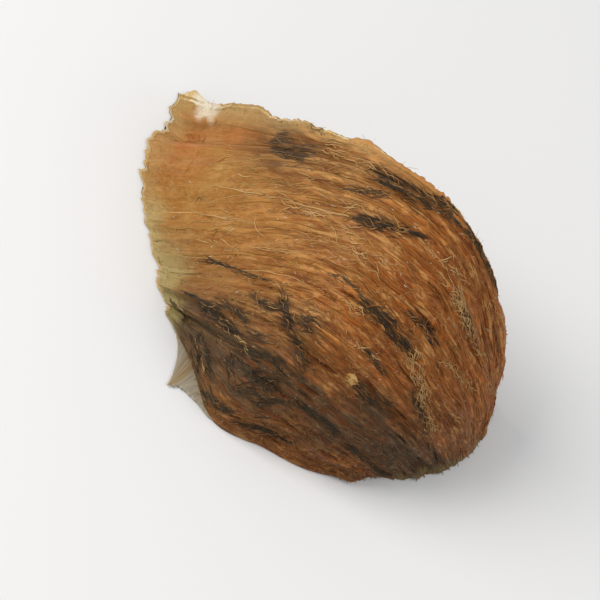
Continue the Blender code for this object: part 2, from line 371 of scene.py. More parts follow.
def find_places(pixels):
    """The u and v that lie under pixels of the photograph."""
    u, v = np.meshgrid(np.linspace(0.0, 1.0, 181), np.linspace(0.0, 1.0, 121), indexing="ij")
    s, w = photo_plane(strand(u, v))
    places = []
    for x, y in pixels:
        at_s = (CHORD[0] * x + CHORD[1] * y - PHOTO_CENTRE[0]) * PHOTO_SCALE
        at_w = (CHORD[1] * x - CHORD[0] * y - PHOTO_CENTRE[1]) * PHOTO_SCALE
        nearest = np.argmin((s - at_s) ** 2 + (w - at_w) ** 2)
        places.append((u.flat[nearest], v.flat[nearest]))
    return np.array(places)


# Each dark streak: start x, y and end x, y in the photograph, half width in mm, darkness, amount of barbs
STREAKS = (
    (318, 84, 340, 91, 2.6, 1.00, 0.04),
    (321, 86, 341, 92, 2.4, 1.00, 0.03),
    (323, 88, 342, 94, 2.0, 1.00, 0.02),
    (334, 94, 354, 101, 3.0, 0.50, 0.03),
    (366, 128, 401, 144, 0.9, 1.00, 1.0),
    (364, 117, 382, 120, 0.6, 0.45, 0.4),
    (377, 108, 395, 119, 1.2, 1.00, 1.0),
    (393, 116, 416, 129, 1.1, 0.85, 0.9),
    (407, 119, 424, 124, 0.5, 0.90, 0.9),
    (414, 128, 430, 144, 0.7, 0.60, 0.7),
    (426, 138, 437, 151, 0.8, 1.00, 1.0),
    (434, 149, 445, 168, 0.7, 0.70, 0.8),
    (274, 175, 301, 196, 1.4, 1.00, 1.0),
    (274, 200, 277, 216, 0.9, 1.00, 1.6),
    (274, 202, 277, 214, 0.7, 1.00, 1.6),
    (279, 199, 284, 216, 0.9, 1.00, 1.6),
    (279, 201, 283, 214, 0.7, 1.00, 1.6),
    (300, 203, 324, 215, 1.5, 0.65, 0.4),
    (306, 192, 320, 200, 1.2, 0.45, 0.2),
    (279, 154, 317, 168, 0.4, 0.55, 0.5),
    (320, 178, 333, 198, 1.9, 0.95, 0.7),
    (326, 200, 337, 216, 1.5, 0.85, 0.5),
    (294, 214, 322, 224, 2.0, 0.90, 0.6),
    (300, 226, 326, 236, 1.0, 0.70, 0.5),
    (292, 178, 306, 190, 0.8, 0.60, 0.6),
    (280, 226, 296, 240, 1.0, 0.85, 0.7),
    (309, 176, 318, 184, 0.7, 0.60, 0.5),
    (352, 163, 365, 171, 0.4, 0.45, 0.4),
    (367, 180, 393, 206, 1.3, 1.00, 1.0),
    (394, 183, 402, 193, 0.4, 0.75, 0.5),
    (404, 190, 410, 202, 0.5, 1.00, 0.6),
    (422, 178, 433, 202, 0.5, 0.75, 0.6),
    (372, 207, 382, 218, 0.6, 0.80, 0.7),
    (365, 224, 382, 240, 1.0, 0.70, 0.6),
    (399, 232, 406, 253, 0.8, 0.85, 0.9),
    (260, 178, 268, 190, 0.8, 0.85, 0.7),
    (334, 232, 356, 254, 1.1, 0.80, 0.7),
    (300, 244, 330, 262, 0.8, 0.70, 0.7),
    (362, 262, 384, 284, 0.6, 0.75, 0.7),
)
# Each pale fuzzy streak: start x, y and end x, y in the photograph, half width in mm, fibres
PALE_STREAKS = (
    (394, 206, 405, 236, 1.3, 74),
    (401, 230, 410, 254, 1.2, 44),
    (356, 122, 388, 134, 0.6, 8),
    (292, 189, 306, 205, 1.5, 18),
    (277, 199, 281, 218, 0.4, 8),
    (414, 168, 424, 180, 1.0, 26),
    (420, 172, 433, 202, 1.3, 56),
    (262, 172, 268, 186, 0.9, 7),
    (357, 178, 367, 186, 0.6, 12),
    (366, 202, 376, 210, 0.5, 10),
    (433, 205, 444, 213, 0.9, 22),
    (414, 211, 421, 216, 0.5, 8),
    (420, 216, 433, 228, 1.0, 22),
    (417, 240, 424, 246, 0.4, 7),
    (440, 179, 455, 198, 0.8, 16),
    (405, 150, 425, 166, 1.2, 24),
    (324, 121, 343, 129, 0.7, 16),
    (348, 88, 376, 104, 2.2, 22),
    (352, 134, 370, 142, 1.3, 10),
    (362, 146, 380, 158, 1.5, 13),
)
# Each long pale thread: start x, y and end x, y in the photograph, and its bow as a part of its length
LONG_THREADS = (
    (322, 119, 363, 129, -0.06),
    (324, 121, 360, 129, -0.03),
    (303, 146, 341, 151, -0.05),
    (307, 147, 338, 150, -0.02),
    (266, 124, 309, 133, -0.04),
    (272, 126, 303, 131, -0.02),
    (308, 128, 313, 142, -0.16),
    (284, 112, 318, 118, -0.03),
    (300, 160, 340, 170, 0.04),
)
DROP_PLACE = (362.0, 222.0)        # a dried drop of saliva
DROP_SIZE = (0.0017, 0.0010, 0.00034)
RIM_TUFT_PLACE = (343.0, 80.0)     # dark barbs that stick out at the rim
RIM_TUFT = 12
CLUMPS = 4                 # tufts in a streak


def streak_tufts():
    """Start and end of each tuft in u and v, with its half width, darkness and amount of barbs."""
    ends = find_places([row[0:2] for row in STREAKS] + [row[2:4] for row in STREAKS])
    tufts = []
    for number, row in enumerate(STREAKS):
        start, end = ends[number], ends[len(STREAKS) + number]
        step = end - start
        span = np.linalg.norm(step * (STRAND_LENGTH, GIRTH))
        sideways = np.array((-step[1] * GIRTH / STRAND_LENGTH, step[0] * STRAND_LENGTH / GIRTH)) / span
        half_width, dark, amount = row[4] * 1e-3, row[5], row[6]
        for k in range(CLUMPS):
            middle = (k + 0.5) / CLUMPS + rng.normal(0.0, 0.05)
            half = rng.uniform(0.14, 0.34)
            off = sideways * rng.normal(0.0, 0.55) * half_width
            tilt = sideways * rng.normal(0.0, 0.30) * half_width
            first = start + step * max(middle - half, -0.03) + off - tilt
            last = start + step * min(middle + half, 1.03) + off + tilt
            tufts.append((first, last, half_width * rng.uniform(0.35, 0.85), dark * rng.uniform(0.7, 1.0), amount))
    return tufts


def pale_tufts():
    """Start and end of each pale streak in u and v, with its half width and number of fibres."""
    ends = find_places([row[0:2] for row in PALE_STREAKS] + [row[2:4] for row in PALE_STREAKS])
    count = len(PALE_STREAKS)
    return [(ends[i], ends[count + i], PALE_STREAKS[i][4] * 1e-3, PALE_STREAKS[i][5]) for i in range(count)]


def darkness(u, v, tufts):
    """How much feather colour shows through at u and v, and how smudged the strands are around it."""
    total, smudge = np.zeros(u.shape), np.zeros(u.shape)
    ragged = noise_at(u * 14.0, v * 60.0, 71.0) + 0.7 * noise_at(u * 34.0, v * 150.0, 73.0)
    for start, end, half_width, dark, _ in tufts:
        a = start * (STRAND_LENGTH, GIRTH)
        length = (end - start) * (STRAND_LENGTH, GIRTH)
        du, dv = u * STRAND_LENGTH - a[0], v * GIRTH - a[1]
        t = np.clip((du * length[0] + dv * length[1]) / (length @ length), 0.0, 1.0)
        off = np.hypot(du - t * length[0], dv - t * length[1])
        slim = half_width * (0.35 + 0.65 * np.sin(np.pi * t))
        total = np.maximum(total, dark * (1.0 - smooth(0.05, 1.9, off / slim + 0.8 * ragged)))
        smudge = np.maximum(smudge, dark * (1.0 - smooth(0.3, 3.4, off / half_width + 0.5 * ragged)))
    return total, smudge


# Edge of the olive, feathery side, in photograph pixels: everything below this line; the side below it also carries
# painted shade
OLIVE_LINE = ((256.0, 166.0), (376.0, 238.0))
ROSY_PLACE = (261.0, 92.0)
FLAKE_PLACE = (278.0, 65.2)        # a white, torn flake between the tip and the rim


def photo_place(pixel):
    """A photograph pixel along the chord and across it, in metres of the nest's frame."""
    x, y = pixel
    along = CHORD[0] * x + CHORD[1] * y
    across = CHORD[1] * x - CHORD[0] * y
    return np.array((along - PHOTO_CENTRE[0], across - PHOTO_CENTRE[1])) * PHOTO_SCALE


def colour_fields(u, v, tufts):
    """Pale edges, feather dark, the olive side and the deep orange side, both partly painted shade, and rosy regions,
    each from 0 to 1.
    """
    reach = reach_at(u)
    uneven = noise_at(u * 9.0, v * 14.0, 79.0) + 0.5 * noise_at(u * 24.0, v * 40.0, 81.0)
    fringe = smooth(0.895, 0.985, -reach + 0.035 * uneven) * (1.0 - 0.45 * smooth(0.90, 0.96, v))
    fringe = fringe * (1.0 - 0.65 * smooth(0.66, 0.80, v) * (1.0 - smooth(0.92, 0.97, v)))
    low_fringe = 0.85 * smooth(0.80, 0.95, -reach + 0.04 * uneven) * (1.0 - smooth(0.52, 0.72, v))
    rim = 0.55 * smooth(0.950, 0.995, v + 0.012 * uneven) * (1.0 - smooth(0.5, 0.8, u))
    foot_b_edge = 0.35 * smooth(0.97, 1.0, reach)
    tip = 0.45 * smooth(0.93, 0.98, v) * smooth(0.84, 0.98, -reach)
    pale = np.clip(np.maximum.reduce((fringe, low_fringe, rim, foot_b_edge, tip)), 0.0, 1.0)
    s, w = photo_plane(strand(u, v))
    a, b = photo_place(OLIVE_LINE[0]), photo_place(OLIVE_LINE[1])
    line = (b - a) / np.linalg.norm(b - a)
    below = (s - a[0]) * line[1] - (w - a[1]) * line[0]
    mottled = smooth(-0.42, 0.16, noise_at(u * 7.0, v * 24.0, 85.0) + 0.4 * noise_at(u * 20.0, v * 60.0, 87.0))
    # Olive side: its own olive colour among the feathers, and painted shade along the lower side by the attach edge.
    olive_tint_and_shade = smooth(-0.0022, 0.0026, below + 0.0022 * uneven) * (0.88 + 0.12 * mottled)
    olive_tint_and_shade = olive_tint_and_shade * (1.0 - 0.80 * smooth(0.0085, 0.019, below + 0.004 * uneven))
    olive_tint_and_shade = np.maximum(olive_tint_and_shade, 0.10 * smooth(-0.028, -0.006, s) + 0.42 * smooth(-0.014, 0.0, below))
    # Deep side towards foot B: the nest's own rust-orange tint, darkened by painted shade where the side turns away
    # from the light.
    deep = 0.32 * smooth(-0.030, -0.010, s) + 0.68 * smooth(-0.014, 0.020, s + 0.006 * uneven)
    spot = photo_place(ROSY_PLACE)
    rosy = bump(0.0, 0.0058, np.hypot(s - spot[0], w - spot[1])) * smooth(0.4, 0.6, v)
    rosy = rosy * (0.40 + 0.60 * smooth(-0.10, 0.30, noise_at(u * 22.0, v * 34.0, 95.0)))
    spot = photo_place(FLAKE_PLACE)
    ragged = 0.0014 * noise_at(u * 50.0, v * 30.0, 105.0)
    white = 1.0 - smooth(0.0012, 0.0032, np.hypot(s - spot[0], w - spot[1]) + ragged)
    # The stepped band by the rim: deeper orange, partly its own colour and partly painted shade of the step.
    strip = smooth(RIM_STEP_V - 0.02, RIM_STEP_V + 0.01, v) * (1.0 - smooth(0.34, 0.50, u))
    dark, smudge = darkness(u, v, tufts)
    return {"pale": pale, "white": white, "dark": dark, "smudge": smudge, "olive_tint_and_shade": olive_tint_and_shade, "rosy": rosy,
            "deep": np.maximum(deep, 0.38 * strip * (1.0 - pale))}


def grid_faces(grid):
    """Quads of a grid of vertex numbers, facing along rows x columns."""
    a, b, c, d = grid[:-1, :-1], grid[1:, :-1], grid[1:, 1:], grid[:-1, 1:]
    return np.stack((a, b, c, d), axis=-1).reshape(-1, 4).tolist()


def stitch(fine, coarse, flip):
    """Triangles between a fine row of vertices and a coarse one with a COARSE times larger step."""
    faces = []
    for j in range(len(coarse) - 1):
        k = j * COARSE
        middle = k + COARSE // 2
        for i in range(k, k + COARSE):
            corner = coarse[j] if i <= middle else coarse[j + 1]
            faces.append((fine[i], fine[i + 1], corner))
            if i == middle:
                faces.append((fine[i + 1], coarse[j + 1], coarse[j]))
    return [face[::-1] for face in faces] if flip else faces


def make_shell(tufts):
    """The whole nest as one closed mesh: outside, rounded rim, inside and the cut on the wall."""
    u, v = np.meshgrid(np.linspace(0.0, 1.0, STATIONS + 1), np.linspace(0.0, 1.0, ROWS + 1), indexing="ij")
    out, _ = outside(u, v)
    out[0, :, 2] = out[-1, :, 2] = out[:, 0, 2] = 0.0
    uc, vc = u[::COARSE, ::COARSE], v[::COARSE, ::COARSE]
    inner = inside(uc, vc)
    rim_u = u[:, -1]
    rim_in = inside(rim_u, np.ones_like(rim_u))
    across = unit(strand(rim_u, 1.0) - strand(rim_u, 1.0 - STEP))
    radius = 0.5 * np.linalg.norm(out[:, -1] - rim_in, axis=-1)
    lip = []
    for k in range(1, LIP_ROWS + 1):
        angle = math.pi * k / (LIP_ROWS + 1)
        middle = (out[:, -1] + rim_in) / 2.0 + (out[:, -1] - rim_in) / 2.0 * math.cos(angle)
        row = middle + across * (0.9 * radius * math.sin(angle))[:, None]
        row[:, 2] = np.maximum(row[:, 2], 0.0)
        row[0, 2] = row[-1, 2] = 0.0
        lip.append(row)
    lip = np.array(lip)

    out_ids = np.arange(out.shape[0] * out.shape[1]).reshape(out.shape[:2])
    lip_ids = out_ids.size + np.arange(lip.shape[0] * lip.shape[1]).reshape(lip.shape[:2])
    in_ids = out_ids.size + lip_ids.size + np.arange(inner.shape[0] * inner.shape[1]).reshape(inner.shape[:2])
    faces = grid_faces(out_ids) + grid_faces(in_ids.T)
    bands = np.vstack((out_ids[:, -1], lip_ids))
    faces += grid_faces(bands.T)
    faces += stitch(bands[-1], in_ids[:, -1], True)
    faces += stitch(out_ids[:, 0], in_ids[:, 0], False)
    faces += stitch(out_ids[0], in_ids[0], True)
    faces += stitch(out_ids[-1], in_ids[-1], False)
    faces.append(tuple(bands[:, 0]) + (in_ids[0, -1],))
    faces.append((in_ids[-1, -1],) + tuple(bands[::-1, -1]))

    points = np.vstack((out.reshape(-1, 3), lip.reshape(-1, 3), inner.reshape(-1, 3)))
    all_u = np.concatenate((u.reshape(-1), np.tile(rim_u, LIP_ROWS), uc.reshape(-1)))
    all_v = np.concatenate((v.reshape(-1), np.ones(lip_ids.size), vc.reshape(-1)))
    fields = colour_fields(all_u, all_v, tufts)
    within = np.concatenate((np.zeros(out_ids.size), np.full(lip_ids.size, 0.5), np.ones(in_ids.size)))
    fields["dark"] = fields["dark"] * (1.0 - 0.7 * within)
    # How raised the fine relief is; the shell's colour uses it for painted shade in the low places and painted
    # highlight on the tops.
    fields["raised"] = np.clip(0.5 + fine_relief(all_u, all_v) / RELIEF_RANGE, 0.0, 1.0) * (1.0 - within) + 0.5 * within
    fields["rough"] = roughness_at(all_u, all_v)
    fields["within"] = within
    across = (all_v + waver(all_u, all_v)) * FLOW_ACROSS
    fields["flow"] = np.stack((all_u * FLOW_ALONG, across, within * 3.0), axis=-1)
    return mesh_object("nest_shell", points, faces, fields)


def tubes(name, lines, normals, widths, sides, tone, regions, flatness=1.0):
    """One mesh of many thin tubes: arrays of tubes x points, with half widths and a tone each.

    Regions are colour fields, each one value or an array of tubes x points.
    """
    count, points = widths.shape
    turns = np.linspace(0.0, 2.0 * math.pi, sides, endpoint=False)
    along = unit(np.gradient(lines, axis=1))
    side = unit(np.cross(along, normals))
    up = unit(np.cross(side, along))
    ring = (lines[:, :, None, :] + side[:, :, None, :] * (np.cos(turns) * widths[..., None])[..., None]
            + up[:, :, None, :] * (np.sin(turns) * flatness * widths[..., None])[..., None])
    ring[..., 2] = np.maximum(ring[..., 2], 0.00002)
    ids = np.arange(count * points * sides).reshape(count, points, sides)
    wrapped = np.concatenate((ids, ids[..., :1]), axis=2)
    a, b = wrapped[:, :-1, :-1], wrapped[:, :-1, 1:]
    c, d = wrapped[:, 1:, 1:], wrapped[:, 1:, :-1]
    faces = np.stack((a, b, c, d), axis=-1).reshape(-1, 4).tolist()
    faces += ids[:, 0, ::-1].tolist() + ids[:, -1].tolist()
    each = (count, points, sides)
    number = np.broadcast_to(np.arange(count)[:, None, None] * 0.37, each)
    length = np.broadcast_to(np.linspace(0.0, 3.0, points)[None, :, None], each)
    fields = {"tone": np.broadcast_to(np.reshape(tone, (-1, 1, 1)), each).reshape(-1),
              "flow": np.stack((length, np.broadcast_to(turns, each), number), axis=-1).reshape(-1, 3)}
    for key, values in regions.items():
        values = np.broadcast_to(values, (count, points))
        fields[key] = np.broadcast_to(values[..., None], each).reshape(-1)
    return mesh_object(name, ring.reshape(-1, 3), faces, fields)


def narrowing(points, blunt=0.25):
    """Part of the full width along a fibre that narrows at both ends."""
    t = np.linspace(0.02, 0.98, points)
    return blunt + (1.0 - blunt) * np.sin(math.pi * t) ** 0.5


PLAIN = {"pale": 0.0, "white": 0.0, "dark": 0.0, "smudge": 0.0, "olive_tint_and_shade": 0.0, "rosy": 0.0, "deep": 0.0}


TRIES = 8                  # places tried for each fibre


def scatter(count, density):
    """Places u and v, more of them where the density is closer to 1."""
    tries = count * TRIES
    u, v = rng.uniform(0.01, 0.99, tries), rng.uniform(0.015, 0.985, tries)
    kept = rng.random(tries) < density(u, v)
    return u[kept][:count], v[kept][:count]


def lay_fibres(name, count, points, sides, length, half_width, curl, skew, lift, density, tufts, flatness=1.0):
    """Fibres of a length in metres over the outside, along the flow but for their curl and skew."""
    u0, v0 = scatter(count, density)
    count = len(u0)
    t = np.linspace(-0.5, 0.5, points)[None, :]
    long = rng.uniform(*length, count)[:, None]
    phase, turns = rng.uniform(0.0, 2.0 * math.pi, (2, count, 1))
    heading = rng.normal(0.0, skew, (count, 1))
    sideways = heading * t * long + curl * long * np.sin(turns * 0.9 * t + phase) * rng.uniform(0.2, 1.0, (count, 1))
    u = u0[:, None] + t * long * np.cos(heading) / STRAND_LENGTH
    v = v0[:, None] + sideways / GIRTH - waver(u, v0[:, None])
    u, v = np.clip(u, 0.004, 0.996), np.clip(v, 0.006, 0.996)
    arch = np.sin(math.pi * (t + 0.5)) ** 0.6
    loose = rng.random((count, 1)) < 0.12
    free = np.where(loose, smooth(0.1, 0.5, t) * rng.uniform(0.0002, 0.0008, (count, 1)), 0.0)
    height = -0.00006 + arch * rng.uniform(0.3, 1.2, (count, 1)) * lift + free
    lines, normals = outside(u, v, height)
    widths = rng.uniform(*half_width, count)[:, None] * narrowing(points)[None, :]
    return tubes(name, lines, normals, widths, sides, rng.uniform(0.0, 1.0, count), colour_fields(u, v, tufts),
                 flatness)


def make_barbs(name, tufts):
    """Dark feather barbs in the tufts, a little askew to them."""
    points = 9
    t = np.linspace(-0.5, 0.5, points)[None, :]
    rows = []
    for start, end, half_width, dark, amount in tufts:
        step = (end - start) * (STRAND_LENGTH, GIRTH)
        span = np.linalg.norm(step)
        count = int(amount * (8 + 3900.0 * span * (0.4 + 600.0 * half_width)))
        place = rng.uniform(0.0, 1.0, (count, 1))
        middle = start + (end - start) * place
        long = rng.uniform(0.0022, 0.0075, (count, 1)) * (0.6 + 0.4 * min(span / 0.008, 1.0))
        turn = rng.normal(0.0, 0.14, (count, 1))
        bow = rng.normal(0.0, 0.16, (count, 1)) * (t * t - 0.1) + 0.02 * np.sin(9.0 * t + turn * 60.0)
        heading = step / span
        stray = np.where(rng.random((count, 1)) < 0.15, 2.2, 1.0)
        off = rng.normal(0.0, 0.75, (count, 1)) * stray * half_width * (0.4 + 0.6 * np.sin(math.pi * place))
        u = middle[:, :1] + (heading[0] * t * long - heading[1] * (off + (turn * t + bow) * long)) / STRAND_LENGTH
        v = middle[:, 1:] + (heading[1] * t * long + heading[0] * (off + (turn * t + bow) * long)) / GIRTH
        rows.append((u, v, np.clip(dark + rng.normal(0.0, 0.18, count), 0.25, 1.0)))
    u = np.clip(np.vstack([row[0] for row in rows]), 0.005, 0.995)
    v = np.clip(np.vstack([row[1] for row in rows]), 0.005, 0.995)
    count = len(u)
    height = -0.00003 + np.sin(math.pi * (t + 0.5)) * rng.uniform(0.0, 0.00026, (count, 1))
    spread, normals = outside(u, v, height)
    widths = rng.uniform(0.00004, 0.00011, (count, 1)) * narrowing(points, 0.12)
    dark = np.concatenate([row[2] for row in rows])[:, None]
    return tubes(name, spread, normals, widths, 3, rng.uniform(0.0, 1.0, count), {"dark": dark})


def make_shafts(name, tufts):
    """Short threads in tufts that each have a start, an end, a half width and a number of threads."""
    points = 12
    t = np.linspace(-0.5, 0.5, points)[None, :]
    rows = []
    for start, end, half_width, count in tufts:
        step = (end - start) * (STRAND_LENGTH, GIRTH)
        span = np.linalg.norm(step)
        heading = step / span
        one = (count, 1)
        long = np.minimum(rng.uniform(0.0006, 0.0027, one), span)
        turn = rng.normal(0.0, 0.45, one)
        place = rng.uniform(0.0, 1.0, one)
        off = rng.normal(0.0, 0.5, one) * half_width
        bow = rng.normal(0.0, 0.45, one) * t * t + turn * t
        bow = (bow + 0.060 * np.sin(8.0 * t + rng.uniform(0.0, 6.0, one))) * long
        u = start[0] + (end - start)[0] * place + (heading[0] * t * long - heading[1] * (off + bow)) / STRAND_LENGTH
        v = start[1] + (end - start)[1] * place + (heading[1] * t * long + heading[0] * (off + bow)) / GIRTH
        rows.append((u, v))
    u = np.clip(np.vstack([row[0] for row in rows]), 0.005, 0.995)
    v = np.clip(np.vstack([row[1] for row in rows]), 0.005, 0.995)
    count = len(u)
    spread, normals = outside(u, v, 0.00002 + 0.00022 * np.sin(math.pi * (t + 0.5)))
    widths = rng.uniform(0.00005, 0.00011, (count, 1)) * narrowing(points, 0.3)
    fields = dict(colour_fields(u, v, []), pale=0.0)
    return tubes(name, spread, normals, widths, 4, rng.uniform(0.0, 1.0, count), fields)


def make_long_threads(name):
    """Single long threads that stand a little over the others."""
    points = 26
    ends = find_places([row[0:2] for row in LONG_THREADS] + [row[2:4] for row in LONG_THREADS])
    count = len(LONG_THREADS)
    start, end = ends[:count, None], ends[count:, None]
    t = np.linspace(0.0, 1.0, points)[None, :]
    bow = np.array([row[4] for row in LONG_THREADS])[:, None]
    bow = bow * 4.0 * t * (1.0 - t) + 0.008 * np.sin(17.0 * t + rng.uniform(0.0, 6.0, (count, 1)))
    step = end - start
    u = start[..., 0] + step[..., 0] * t - step[..., 1] * bow * GIRTH / STRAND_LENGTH
    v = start[..., 1] + step[..., 1] * t + step[..., 0] * bow * STRAND_LENGTH / GIRTH
    spread, normals = outside(u, v, 0.00003 + 0.00010 * np.sin(math.pi * t))
    widths = rng.uniform(0.00008, 0.00013, (count, 1)) * narrowing(points, 0.15)
    return tubes(name, spread, normals, widths, 5, rng.uniform(0.3, 1.0, count), PLAIN, 0.6)


def make_drop(name):
    """A dried drop of saliva that sits on the strands."""
    u, v = find_places([DROP_PLACE])[0]
    base, normal = outside(np.array([u]), np.array([v]))
    along, _ = slopes(np.array([u]), np.array([v]))
    x = unit(along)[0]
    y = unit(np.cross(normal[0], x))
    turns, rings = 36, 18
    a = np.linspace(0.0, 2.0 * math.pi, turns, endpoint=False)[None, :]
    b = np.linspace(-0.5, 0.5, rings + 2)[1:-1, None] * math.pi
    uneven = 1.0 + 0.24 * noise_at(np.cos(a) * 1.7, np.sin(a) * 1.7, b * 1.5) + 0.18 * noise_at(np.cos(a) * 5.0, np.sin(a) * 5.0, b * 4.0)
    parts = (np.cos(a) * np.cos(b) * DROP_SIZE[0], np.sin(a) * np.cos(b) * DROP_SIZE[1],
             np.sin(b) * DROP_SIZE[2] + 0.0 * a)
    ball = sum((part * uneven)[..., None] * axis for part, axis in zip(parts, (x, y, normal[0])))
    points = (base[0] + ball).reshape(-1, 3)
    ids = np.arange(turns * rings).reshape(rings, turns)
    faces = grid_faces(np.hstack((ids, ids[:, :1])).T)
    faces += [tuple(ids[0, ::-1]), tuple(ids[-1])]
    fields = {key: np.zeros(len(points)) for key in PLAIN}
    fields.update(tone=0.4 + 0.8 * noise_at(*(points * 1400.0).T), flow=points * 900.0)
    return mesh_object(name, points, faces, fields)


def make_edge_hairs(name):
    """Short barbs that stick out at the rim and at the attach edge."""
    count, points = 170, 6
    t = np.linspace(0.0, 1.0, points)[None, :, None]
    at_rim = rng.random(count) < 0.70
    u = np.where(at_rim, rng.uniform(0.10, 0.66, count), rng.uniform(0.04, 0.66, count))
    v = np.where(at_rim, 0.99, 0.02)
    u[:RIM_TUFT] = find_places([RIM_TUFT_PLACE])[0, 0] + rng.normal(0.0, 0.006, RIM_TUFT)
    v[:RIM_TUFT] = 0.99
    at_rim[:RIM_TUFT] = True
    base, normal = outside(u, v)
    along, across = slopes(u, v)
    flow, away = unit(along), unit(across) * np.where(at_rim, 1.0, -1.0)[:, None]
    one = (count, 1)
    heading = unit(away * rng.uniform(0.25, 1.0, one) + flow * rng.normal(0.5, 0.8, one) + normal * rng.normal(0.1, 0.3, one))
    long = rng.uniform(0.0007, 0.0030, (count, 1, 1))
    curl = flow[:, None] * rng.normal(0.0, 0.4, (count, 1, 1)) * long * t ** 2
    lines = base[:, None] - heading[:, None] * 0.0006 + heading[:, None] * long * t + curl
    lines[..., 2] = np.maximum(lines[..., 2], 0.0001)
    widths = rng.uniform(0.00004, 0.00008, one) * np.linspace(1.0, 0.35, points)[None, :]
    dark = np.where(rng.random((count, 1)) < 0.5, 0.0, 1.0)
    dark[:RIM_TUFT] = 2.0
    regions = dict(PLAIN, dark=dark)
    normals = np.repeat(normal[:, None], points, axis=1)
    return tubes(name, lines, normals, widths, 3, rng.uniform(0.0, 1.0, count), regions)


def make_net(name):
    """Threads that cross each other on the inside of the cup."""
    count, points = 560, 14
    t = np.linspace(-0.5, 0.5, points)[None, :]
    one = (count, 1)
    angle = np.where(rng.random(one) < 0.65, rng.normal(0.0, 0.55, one), rng.uniform(-1.5, 1.5, one))
    long = rng.uniform(0.06, 0.26, one)
    u = rng.uniform(0.08, 0.92, one) + np.cos(angle) * long * t
    v = rng.uniform(0.10, 0.97, one) + np.sin(angle) * long * 1.2 * t
    v = v + 0.010 * np.sin(7.0 * t + rng.uniform(0.0, 6.0, one))
    u, v = np.clip(u, 0.06, 0.95), np.clip(v, 0.07, 0.985)
    normals = -outward(u, v)
    rise = rng.uniform(0.00005, 0.00055, one) * np.sin(math.pi * (t + 0.5))
    lines = inside(u, v) + normals * rise[..., None]
    widths = rng.uniform(0.00012, 0.00034, one) * narrowing(points)[None, :]
    return tubes(name, lines, normals, widths, 4, rng.uniform(0.2, 1.0, count), PLAIN, 0.7)


def film_edges():
    """Edges that carry a thin torn film: u, v and reach along each one, and which way it faces."""
    count = 420
    line = np.linspace(0.0, 1.0, count)
    full = np.ones(count)
    ends = smooth(0.0, 0.08, line) * smooth(0.0, 0.08, 1.0 - line)

    def ragged(seed):
        coarse = noise_at(line * 9.0, seed, 83.0) + 0.7 * noise_at(line * 31.0, seed, 89.0)
        return np.clip(0.60 + 0.60 * coarse + 0.22 * noise_at(line * 95.0, seed, 91.0), 0.05, 1.6) * ends

    foot_v = 0.12 + 0.875 * line
    rim_u = 0.012 + 0.40 * line
    attach_u = 0.006 + 0.36 * line
    film = FILM_REACH * np.where(attach_u < FILM_U, bump(FILM_U, 0.062, attach_u), bump(FILM_U, 0.080, attach_u))
    return ((0.006 * full, foot_v, 0.0016 * np.maximum(0.03, ragged(1.0) - 0.40), "foot"),
            (rim_u, 0.994 * full, 0.0008 * ragged(2.0) + TIP_FILM * bump(TIP_FILM_U, 0.034, rim_u), "rim"),
            (attach_u, 0.004 * full, 0.0005 * ragged(4.0) + film * (0.62 + 0.28 * ragged(5.0)), "attach"))


FILM_TONES = {"foot": 0.20, "rim": 0.10, "attach": 0.75}
# Painted shade on each film, as its share of the olive tint; the attach film is darkened most.
FILM_PAINTED_SHADE = {"foot": 0.12, "rim": 0.0, "attach": 0.75}


